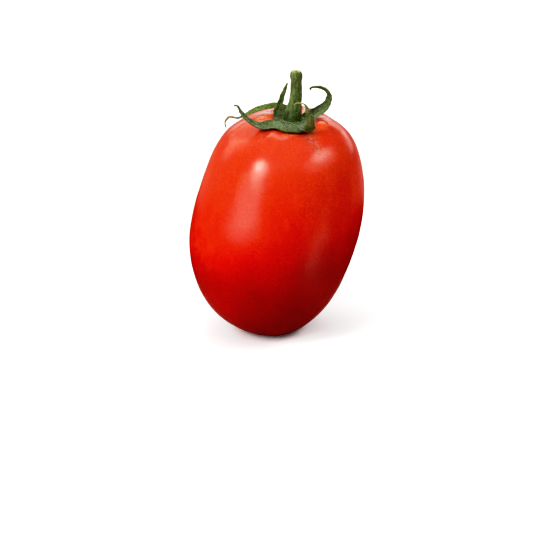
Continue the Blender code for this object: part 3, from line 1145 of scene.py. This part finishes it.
@dataclass
class Calyx:
    """The calyx: a hub that follows the shoulder, with five sepals grown out of it."""

    skin: BVHTree
    sepals: tuple[Sepal, ...] = SEPALS
    hub_radius: float = 0.0055
    flap_reach: float = 0.0064
    flap_azimuth: float = -99.0
    flap_spread: float = 54.0
    fold: tuple[Spot, Spot] = ((0.0033, -0.0026), (0.0052, -0.0097))
    fold_width: float = 0.0006
    fold_depth: float = 0.00020
    blooms: tuple[Spot, ...] = ((0.0018, -0.0046), (0.0086, -0.0070))
    bloom_reach: float = 0.0019
    point_reach: float = 0.0016
    point_spread: float = 17.0
    point_azimuths: tuple[float, ...] = (15.0, 96.0, 154.0)
    seat_radius: float = 0.0040
    seat_z: float = 0.07215
    hub_thickness: float = 0.00070
    hub_rings: int = 60
    hub_sides: int = 144
    skin_gap: float = 0.00034
    blade_thickness: float = 0.00058
    rib_height: float = 0.00016
    cup: float = 0.30
    cup_level: float = 0.3
    frill: float = 0.06
    voxel: float = 0.000114
    wrinkle: float = 0.000034
    vein_height: float = 0.000020
    pucker_height: float = 0.000028
    seed: int = 40
    along: int = 72
    sides: int = 28
    line_steps: int = 120

    def skin_height(self, x: float, y: float) -> float:
        """Height of the fruit's top side at a place."""
        hit = self.skin.ray_cast(Vector((x, y, 1.0)), Vector((0.0, 0.0, -1.0)))
        return hit[0].z if hit[0] is not None else 0.0

    def frames(self, sepal: Sepal, count: int) -> tuple[np.ndarray, ...]:
        """Middle points, sideways and face directions and widths along a sepal.

        Args:
            sepal: the sepal.
            count: how many steps there are along it.

        Returns:
            The four, one row for each step and one for the end.
        """
        shares = np.linspace(0.0, 1.0, count + 1)
        rows = smooth_values(np.array(sepal.stations) * MM, shares)
        points, widths = rows[:, :3], rows[:, 3]
        face = Vector((0.0, 0.0, 1.0))
        sideways, facing = [], []
        for i, share in enumerate(shares):
            way = Vector(points[min(i + 1, count)] - points[max(i - 1, 0)]).normalized()
            face = (face - face.dot(way) * way).normalized()
            turn = math.radians(sepal.root_turn + (sepal.tip_turn - sepal.root_turn) * share)
            up = Quaternion(way, turn) @ face
            sideways.append(way.cross(up))
            facing.append(up)
        return points, np.array(sideways), np.array(facing), widths

    def blade(self, sepal: Sepal, seed: int) -> bpy.types.Object:
        """One sepal as a closed blade with a rib below and frilled edges, clear of the skin.

        Args:
            sepal: the sepal.
            seed: the seed of its unevenness.

        Returns:
            The blade.
        """
        points, sideways, facing, widths = self.frames(sepal, self.along)
        draw = np.random.default_rng(seed)
        across, side = np.cos(around(self.sides)), np.sin(around(self.sides))
        rings = []
        for i, share in enumerate(np.linspace(0.0, 1.0, self.along + 1)):
            width = widths[i]
            phase = 5.0 * TURN * share + draw.uniform(0.0, 0.9) + 1.7 * across
            frill = self.frill * np.sin(phase) * np.abs(across)
            half = 0.5 * width * across * (1.0 + frill)
            thick = min(self.blade_thickness, 0.9 * width) * (1.0 - 0.45 * across**2)
            lift = self.cup * 0.5 * width * (across**2 - self.cup_level) * min(1.0, width / 0.0012)
            body = 0.5 * thick * np.sign(side) * np.abs(side) ** 0.8
            rib = self.rib_height * min(1.0, width / 0.002) * bell(across, 0.22) * (side < 0.0)
            height = lift + body - rib
            rings.append(points[i] + sideways[i] * half[:, None] + facing[i] * height[:, None])
        solid = np.concatenate([*rings, points[:1], points[-1:]])
        for row in solid:
            row[2] = max(row[2], self.skin_height(row[0], row[1]) + self.skin_gap)
        return new_object("blade_" + sepal.name, solid, tube_faces(self.along + 1, self.sides))

    def rim(self, azimuth: np.ndarray) -> np.ndarray:
        """Radius of the hub: a point at each back sepal, and one flap for the front two.

        Args:
            azimuth: angles about the stalk.

        Returns:
            The radius at each angle.
        """
        flap = turn_from(azimuth, self.flap_azimuth) / math.radians(self.flap_spread)
        radius = self.hub_radius + self.flap_reach * np.exp(-(flap**4))
        for point in self.point_azimuths:
            turn = turn_from(azimuth, point)
            radius += self.point_reach * bell(turn, math.radians(self.point_spread))
        ripple = 0.012 * np.sin(17.0 * azimuth) + 0.010 * np.sin(29.0 * azimuth + 1.0)
        return radius * (1.0 + ripple)

    def hub(self) -> bpy.types.Object:
        """The plate that the sepals grow from, level under the stalk and lifted at its rim.

        Returns:
            The hub.
        """
        rings, sides = self.hub_rings, self.hub_sides
        polar = np.repeat(np.linspace(0.0, math.pi, rings + 2)[1:-1], sides)
        polar = np.append(polar, [0.0, math.pi])
        azimuth = np.append(np.tile(around(sides), rings), [0.0, 0.0])
        share = np.sin(polar) ** 0.85
        out = self.rim(azimuth) * share
        x, y = STEM_X + out * np.cos(azimuth), out * np.sin(azimuth)
        skin = np.array([self.skin_height(*place) for place in zip(x, y)])
        wave = 0.00012 * np.sin(6.0 * azimuth + 0.6) * share**3
        low = skin + self.skin_gap + 0.00022 * share**6 + np.maximum(wave, 0.0)
        high = low + self.hub_thickness * (1.0 - 0.25 * share**2)
        collar = self.seat_z + 0.0004 - 0.5 * np.maximum(0.0, out - self.seat_radius)
        high = np.maximum(high, np.where(out < 1.35 * self.seat_radius, collar, 0.0))
        side = np.sign(np.cos(polar)) * np.abs(np.cos(polar)) ** 0.5
        z = 0.5 * (low + high) + 0.5 * (high - low) * side
        return new_object("blade_hub", np.stack([x, y, z], 1), tube_faces(rings, sides))

    def grow_together(self, shapes: list[bpy.types.Object]) -> bpy.types.Object:
        """Join closed shapes in one fine skin with soft fillets between them.

        Args:
            shapes: the shapes, which are used up.

        Returns:
            The joined object.
        """
        points, faces, start = [], [], 0
        for shape in shapes:
            points.append(read_rows(shape.data.vertices, "co"))
            faces += [tuple(start + v for v in face.vertices) for face in shape.data.polygons]
            start += len(shape.data.vertices)
            bpy.data.objects.remove(shape, do_unlink=True)
        joined = new_object("calyx_sepals", np.concatenate(points), faces)
        remesh = joined.modifiers.new("Grow together", "REMESH")
        remesh.mode = "VOXEL"
        remesh.voxel_size = self.voxel
        soften = joined.modifiers.new("Soften", "SMOOTH")
        soften.factor = 0.5
        soften.iterations = 5
        seen = joined.evaluated_get(bpy.context.evaluated_depsgraph_get())
        joined.data = bpy.data.meshes.new_from_object(seen)
        joined.modifiers.clear()
        joined.data.shade_smooth()
        return joined

    def nearest(self, points: np.ndarray) -> tuple[np.ndarray, np.ndarray, list[np.ndarray]]:
        """The place on a sepal's middle line that is nearest to each point.

        Args:
            points: the points.

        Returns:
            The number of its sepal, the share of the way along it, and the frames there.
        """
        frames = [self.frames(sepal, self.line_steps) for sepal in self.sepals]
        rows = [np.concatenate(part) for part in zip(*frames)]
        tree = KDTree(len(rows[0]))
        for number, point in enumerate(rows[0]):
            tree.insert(point, number)
        tree.balance()
        found = np.array([tree.find(point)[1] for point in points])
        number, step = np.divmod(found, self.line_steps + 1)
        return number, step / self.line_steps, [row[found] for row in rows]

    def folded(self, places: np.ndarray) -> np.ndarray:
        """How deep in the flap's fold each place is.

        Args:
            places: the places, as X and Y.

        Returns:
            A share for each place.
        """
        start, end = np.array(self.fold)
        length = np.linalg.norm(end - start)
        way = (end - start) / length
        along = (places - start) @ way / length
        aside = (places - start) @ np.array([-way[1], way[0]])
        return bell(aside, self.fold_width) * rise(along, -0.1, 0.15) * rise(along, 1.05, 0.8)

    def finish_surface(self, mesh: bpy.types.Mesh) -> None:
        """Wrinkle and vein the surface, and keep the maps that its material reads.

        Args:
            mesh: the joined calyx's mesh.
        """
        points, normals = read_mesh(mesh)
        number, share, (middle, sideways, facing, width) = self.nearest(points)
        traits = [(sepal.dry_from, sepal.straw, sepal.pale, sepal.burnt) for sepal in self.sepals]
        dry_from, straw, pale, burnt = np.array(traits)[number].T
        across = np.abs(((points - middle) * sideways).sum(1) / (0.5 * width))
        stalk = np.hypot(points[:, 0] - STEM_X, points[:, 1])
        azimuth = np.arctan2(points[:, 1], points[:, 0] - STEM_X)
        out = stalk / self.rim(azimuth)
        blade = rise(share, 0.10, 0.24)
        hub = 1.0 - blade
        up = (normals * facing).sum(1) * blade + normals[:, 2] * hub
        upper = rise(up, -0.15, 0.55)
        under = 1.0 - upper
        edge = rise(across, 0.62, 1.0) * blade * rise(width, 0.0006, 0.0014)
        hub_edge = rise(out, 0.86, 0.98) * hub
        small, tiny = Waves(21, 0.0011).at(points), Waves(22, 0.00045).at(points)
        veins = 0.5 + 0.5 * np.cos(9.0 * across - 60.0 * share)
        ribs = bell(across, 0.16) * blade * rise(width, 0.0008, 0.0018)
        puckers = np.cos(20.0 * azimuth + 2.0 * small) * hub * rise(stalk, 0.0045, 0.006)
        # The fold dents the flap here, and its map darkens the fold as painted shade.
        fold = self.folded(points[:, :2]) * rise(normals[:, 2], 0.0, 0.5)
        height = self.wrinkle * (small + 0.45 * tiny)
        height += self.vein_height * veins * blade * rise(width, 0.0010, 0.0022)
        height += np.where(up > 0.0, -0.00007, 0.00005) * ribs
        height += self.pucker_height * puckers - self.fold_depth * fold
        move_points(mesh, points + normals * height[:, None])
        spots = (points[:, :2] - spot for spot in np.array(self.blooms))
        bloom = sum(bell(np.hypot(*spot.T), self.bloom_reach) for spot in spots)
        low = rise(share, 0.62, 0.40) * rise(share, 0.22, 0.34)
        maps = {
            "upper": upper,
            "edge": np.maximum(edge, hub_edge),
            "fold": fold,
            "bloom": bloom * upper,
            "dry": rise(share - dry_from, -0.03, 0.06),
            "straw": straw,
            "pale": pale * blade,
            "burnt": (burnt * low + 0.55 * hub_edge) * under + 0.5 * rise(out, 0.93, 1.0) * hub,
        }
        keep_maps(mesh, maps)

    def build(self) -> bpy.types.Object:
        """Build the calyx.

        Returns:
            The calyx, dressed and riding on its body.
        """
        shapes = [self.blade(sepal, self.seed + i) for i, sepal in enumerate(self.sepals)]
        calyx = self.grow_together([self.hub(), *shapes])
        self.finish_surface(calyx.data)
        dress(calyx, LeafFinish().material(), Slot.SEPAL, "calyx")
        return calyx


# The stalk


@dataclass
class Stalk:
    """The cut stalk: flared at its foot, slim at its waist, swollen at its cut end.

    The rings are Z, X and radius in millimetres, and the cut's are Z and radius.
    """

    rings: tuple[Point, ...] = (
        (71.90, 6.75, 3.30), (72.55, 6.75, 3.05), (73.20, 6.77, 2.91), (74.00, 6.83, 2.82),
        (75.20, 6.98, 2.60), (76.50, 7.20, 2.38), (78.00, 7.42, 2.16), (79.80, 7.65, 1.99),
        (81.80, 7.78, 1.86), (83.60, 7.82, 1.76), (84.80, 7.81, 1.73), (85.55, 7.79, 1.75),
        (86.05, 7.78, 1.90), (86.80, 7.76, 2.00), (87.90, 7.72, 1.86), (88.35, 7.71, 1.65),
    )
    cut: tuple[Spot, ...] = (
        (88.46, 1.50), (88.50, 1.36), (88.46, 1.22), (88.38, 1.08),
        (88.36, 0.92), (88.28, 0.74), (88.22, 0.50), (88.20, 0.24),
    )
    cut_z: float = 0.08840
    ridges: int = 5
    ridge_depth: float = 0.030
    rows: int = 190
    cut_rows: int = 26
    sides: int = 120

    def build(self) -> bpy.types.Object:
        """Build the stalk.

        Returns:
            The stalk, dressed and riding on its body.
        """
        cut_x = self.rings[-1][1]
        ends = [(z, cut_x, radius) for z, radius in self.cut]
        profile = np.concatenate(
            [
                smooth_values(np.array(rings) * MM, np.linspace(0.0, 1.0, rows))
                for rings, rows in ((self.rings, self.rows), (ends, self.cut_rows))
            ]
        )
        z, x, radius = (np.repeat(column, self.sides) for column in profile.T)
        azimuth = np.tile(around(self.sides), len(profile))
        flutes = rise(z, 0.0866, 0.0850) * (0.6 + 0.9 * rise(z, 0.0775, 0.0725))
        lobes = np.cos(self.ridges * (azimuth + 120.0 * (z - 0.08)) + 0.5)
        radius *= 1.0 + self.ridge_depth * lobes * flutes
        points = np.stack([x + radius * np.cos(azimuth), radius * np.sin(azimuth), z], 1)
        tips = [(x[0], 0.0, z[0]), (x[-1], 0.0, z[-1])]
        points = np.concatenate([points, tips])
        stalk = new_object("stalk_stem", points, tube_faces(len(profile), self.sides))
        _, normals = read_mesh(stalk.data)
        if normals[-1, 2] < 0.0:
            stalk.data.flip_normals()
            normals = -normals
        height = 0.000035 * Waves(31, 0.0009).at(points * np.array([1.0, 1.0, 0.25]))
        height += 0.000030 * Waves(32, 0.0022).at(points)
        height += 0.000016 * Waves(33, 0.00045).at(points)
        height = np.where(points[:, 2] > self.cut_z, np.minimum(height, 0.0), height)
        move_points(stalk.data, points + normals * height[:, None])
        dress(stalk, StalkFinish().material(), Slot.STALK, "stalk")
        return stalk


# The hairs


@dataclass
class Down:
    """Fine hairs that grow from a piece. The stations are the share along and the thickness."""

    name: str
    slot: Slot
    seed: int
    count: int
    shortest: float
    longest: float
    upper_only: bool = False
    root_radius: float = 0.000020
    root_depth: float = 0.00004
    from_z: float = 0.0722
    to_z: float = 0.0872
    lean: float = 0.45
    bend: float = 0.22
    stations: tuple[Spot, ...] = ((0.0, 1.0), (0.35, 0.85), (0.70, 0.6))

    def roots(self, draw: np.random.Generator, mesh: bpy.types.Mesh) -> tuple[np.ndarray, ...]:
        """Draw the places where the hairs grow.

        Args:
            draw: the seeded draw.
            mesh: the mesh that they grow from.

        Returns:
            The roots and the normals there.
        """
        mesh.calc_loop_triangles()
        corners = np.empty(len(mesh.loop_triangles) * 3, int)
        mesh.loop_triangles.foreach_get("vertices", corners)
        corners = corners.reshape(-1, 3)
        places, normals = read_mesh(mesh)
        a, b, c = (places[corners[:, k]] for k in range(3))
        weight = np.linalg.norm(np.cross(b - a, c - a), axis=1)
        weight *= (a[:, 2] < self.to_z) & (a[:, 2] > self.from_z)
        if self.upper_only:
            weight *= rise(normals[corners[:, 0], 2], -0.3, 0.3)
        chosen = draw.choice(len(corners), self.count, p=weight / weight.sum())
        u, v = draw.uniform(size=(2, self.count))
        flip = u + v > 1.0
        u, v = np.where(flip, 1.0 - u, u)[:, None], np.where(flip, 1.0 - v, v)[:, None]
        root = a[chosen] * (1.0 - u - v) + b[chosen] * u + c[chosen] * v
        return root, normals[corners[chosen, 0]]

    def build(self, ground: bpy.types.Object) -> None:
        """Grow the hairs as one mesh, and dress it.

        Args:
            ground: the piece that they grow from.
        """
        draw = np.random.default_rng(self.seed)
        shape = (self.count, 3)
        root, normal = self.roots(draw, ground.data)
        way = unit(normal + draw.normal(size=shape) * self.lean)
        length = draw.uniform(self.shortest, self.longest, (self.count, 1))
        bend = draw.normal(size=shape) * self.bend * length
        aside = unit(np.cross(way, draw.normal(size=shape)))
        other = np.cross(way, aside)
        rows, reach = [], []
        for share, thin in self.stations:
            middle = root + way * share * length + bend * share**2
            if share == 0.0:
                middle = root - way * self.root_depth
            for angle in around(3):
                ring = aside * math.cos(angle) + other * math.sin(angle)
                rows.append(middle + ring * (self.root_radius * thin))
                reach.append(share)
        points = np.stack([*rows, root + way * length + bend], 1).reshape(-1, 3)
        hair = [(0, 2, 1), *ring_faces(3, 3), (6, 7, 9), (7, 8, 9), (8, 6, 9)]
        faces = [tuple(10 * i + v for v in face) for i in range(self.count) for face in hair]
        hairs = new_object(self.name, points, faces)
        keep_maps(hairs.data, {"reach": np.tile([*reach, 1.0], self.count)})
        dress(hairs, HairFinish().material(), self.slot)


# The studio


@dataclass(frozen=True)
class Softbox:
    """A soft light that is aimed at the fruit. Its azimuth is from the camera, to the right."""

    name: str
    azimuth: float
    elevation: float
    distance: float
    width: float
    height: float
    power: float

    def place(self, target: Vector) -> None:
        """Hang the light.

        Args:
            target: the point that it faces.
        """
        lamp = bpy.data.lights.new(self.name, "AREA")
        lamp.shape = "ELLIPSE"
        lamp.size = self.width
        lamp.size_y = self.height
        lamp.energy = self.power
        light = bpy.data.objects.new(self.name, lamp)
        turn, tilt = math.radians(self.azimuth), math.radians(self.elevation)
        level = math.cos(tilt)
        way = Vector((math.sin(turn) * level, -math.cos(turn) * level, math.sin(tilt)))
        light.location = target + way * self.distance
        light.rotation_euler = (-way).to_track_quat("-Z", "Y").to_euler()
        light.visible_camera = False
        bpy.context.scene.collection.objects.link(light)


@dataclass
class Studio:
    """The floor, the lights and the camera."""

    target: Point = (0.0019, 0.0, 0.0400)
    eye_distance: float = 0.550
    eye_elevation: float = 22.0
    eye_from: Point = (0.0019, 0.0, 0.0395)
    aim: Point = (-0.0016, 0.0, 0.0213)
    lens: float = 113.8
    floor_radius: float = 6.0
    floor_bend: float = 3.0
    floor_rings: int = 48
    floor_sides: int = 96
    ambient: float = 0.30
    contrast: tuple[Spot, ...] = (
        (0.045, 0.004), (0.30, 0.24), (0.55, 0.60), (0.68, 0.78), (0.85, 0.89), (1.00, 1.0),
    )
    boxes: tuple[Softbox, ...] = (
        Softbox("key_low", -52.0, -1.0, 0.20, 0.160, 0.076, 0.078),
        Softbox("key_middle", -54.0, 12.0, 0.95, 0.52, 0.46, 2.0),
        Softbox("key_high", -47.0, 31.0, 0.95, 0.30, 0.60, 4.2),
        Softbox("key_core", -48.0, 38.0, 0.80, 0.05, 0.33, 1.9),
        Softbox("right_softbox", 66.0, 38.0, 0.90, 0.85, 0.50, 2.3),
        Softbox("right_core", 80.0, 45.0, 0.90, 0.54, 0.32, 3.0),
        Softbox("back_softbox", -118.0, 34.0, 1.00, 0.26, 0.84, 1.3),
        Softbox("rear_softbox", -150.0, 38.0, 1.20, 1.30, 0.90, 3.6),
        Softbox("right_strip", 142.0, 10.0, 1.20, 0.55, 0.40, 0.75),
        Softbox("rear_strip", 178.0, 11.0, 1.30, 1.60, 0.45, 1.7),
        Softbox("crown_softbox", -168.0, 57.0, 1.00, 0.50, 0.30, 1.5),
        Softbox("overhead", 0.0, 74.0, 1.60, 2.40, 2.40, 8.0),
    )

    def camera(self) -> None:
        """Set the camera at the reference view."""
        lens = bpy.data.cameras.new("reference_view")
        lens.lens = self.lens
        lens.sensor_width = 36.0
        lens.clip_start = 0.01
        lens.clip_end = 50.0
        camera = bpy.data.objects.new("reference_view", lens)
        tilt = math.radians(self.eye_elevation)
        way = Vector((0.0, -math.cos(tilt), math.sin(tilt)))
        camera.location = Vector(self.eye_from) + way * self.eye_distance
        ahead = Vector(self.aim) - camera.location
        camera.rotation_euler = ahead.to_track_quat("-Z", "Y").to_euler()
        bpy.context.scene.collection.objects.link(camera)
        bpy.context.scene.camera = camera

    def floor(self) -> None:
        """Lay a wide round floor that turns up far behind everything."""
        rings, sides = self.floor_rings, self.floor_sides
        out = np.repeat(np.linspace(self.floor_radius / rings, self.floor_radius, rings), sides)
        azimuth = np.tile(around(sides), rings)
        past = np.maximum(0.0, out - self.floor_bend)
        points = np.stack([out * np.cos(azimuth), out * np.sin(azimuth), 0.28 * past**2], 1)
        points = np.concatenate([points, [(0.0, 0.0, 0.0)]])
        faces = [(side, (side + 1) % sides, rings * sides) for side in range(sides)]
        faces += [face[::-1] for face in ring_faces(rings, sides)]
        floor = new_object("floor", points, faces)
        floor.data.materials.append(FloorFinish().material())

    def sky(self) -> None:
        """Give the room its even white light."""
        world = bpy.data.worlds.new("white_room")
        world.use_nodes = True
        ground = world.node_tree.nodes["Background"]
        ground.inputs["Color"].default_value = (*WHITE, 1.0)
        ground.inputs["Strength"].default_value = self.ambient
        bpy.context.scene.world = world

    def develop(self) -> None:
        """Set how the light is turned into tones."""
        view = bpy.context.scene.view_settings
        view.view_transform = "Standard"
        view.look = "None"
        view.exposure = 0.0
        view.gamma = 1.0
        view.use_curve_mapping = True
        tones = view.curve_mapping.curves[3].points
        tones[0].location = (0.0, 0.0)
        tones[1].location = self.contrast[-1]
        for light, shown in self.contrast[:-1]:
            tones.new(light, shown)
        for point in tones:
            point.handle_type = "AUTO_CLAMPED"
        view.curve_mapping.extend = "HORIZONTAL"
        view.curve_mapping.update()

    def build(self) -> None:
        """Set up the whole studio."""
        self.camera()
        self.floor()
        self.sky()
        for box in self.boxes:
            box.place(Vector(self.target))
        self.develop()


def main() -> None:
    """Build the studio and the tomato's pieces, and report each."""
    logging.basicConfig(level=logging.INFO, format="%(name)s: %(message)s")
    Studio().build()
    fruit = Fruit().build()
    skin = BVHTree.FromPolygons(
        [v.co for v in fruit.data.vertices], [f.vertices for f in fruit.data.polygons]
    )
    calyx = Calyx(skin).build()
    stalk = Stalk().build()
    Down("calyx_down", Slot.SEPAL, 51, 2600, 0.00018, 0.00042, upper_only=True).build(calyx)
    Down("stalk_down", Slot.STALK, 52, 1100, 0.00015, 0.00040).build(stalk)


if __name__ == "__main__":
    main()
